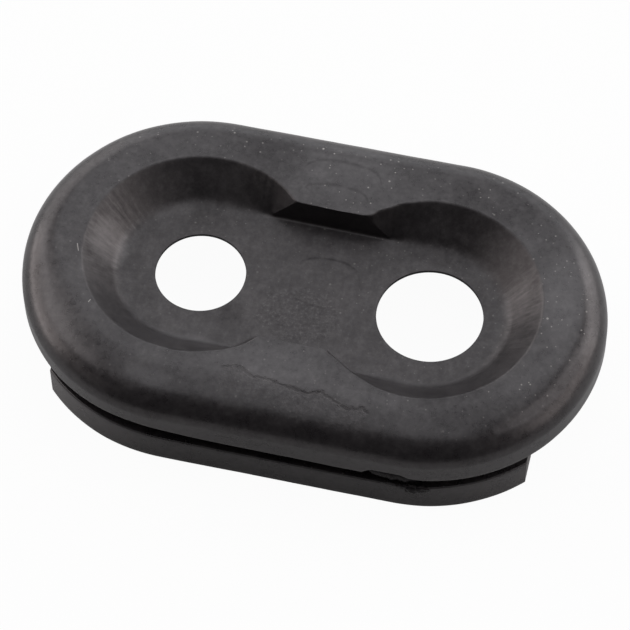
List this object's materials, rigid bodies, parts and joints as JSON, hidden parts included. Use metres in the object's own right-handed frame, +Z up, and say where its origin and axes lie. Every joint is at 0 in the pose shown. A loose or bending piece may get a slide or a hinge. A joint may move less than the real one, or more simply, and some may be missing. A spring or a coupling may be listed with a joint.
{
  "type": "brake cable grommet",
  "caption": "Oblong moulded rubber grommet: rounded head, figure-eight recess with round cable holes in a thin floor, groove for sheet metal, lower flange with straight ends.",
  "frame": {"origin": "middle of the footprint, at the underside of the lower flange", "axes": "+X along the long axis, towards the larger cable hole; +Y across; +Z up, from the flange to the head"},
  "size_m": [0.076, 0.0454, 0.0144],
  "materials": {
    "rubber": "satin, as moulded, with light dust and flow marks"
  },
  "bodies": {
    "root": {"grommet": "rubber"}
  },
  "joints": []
}
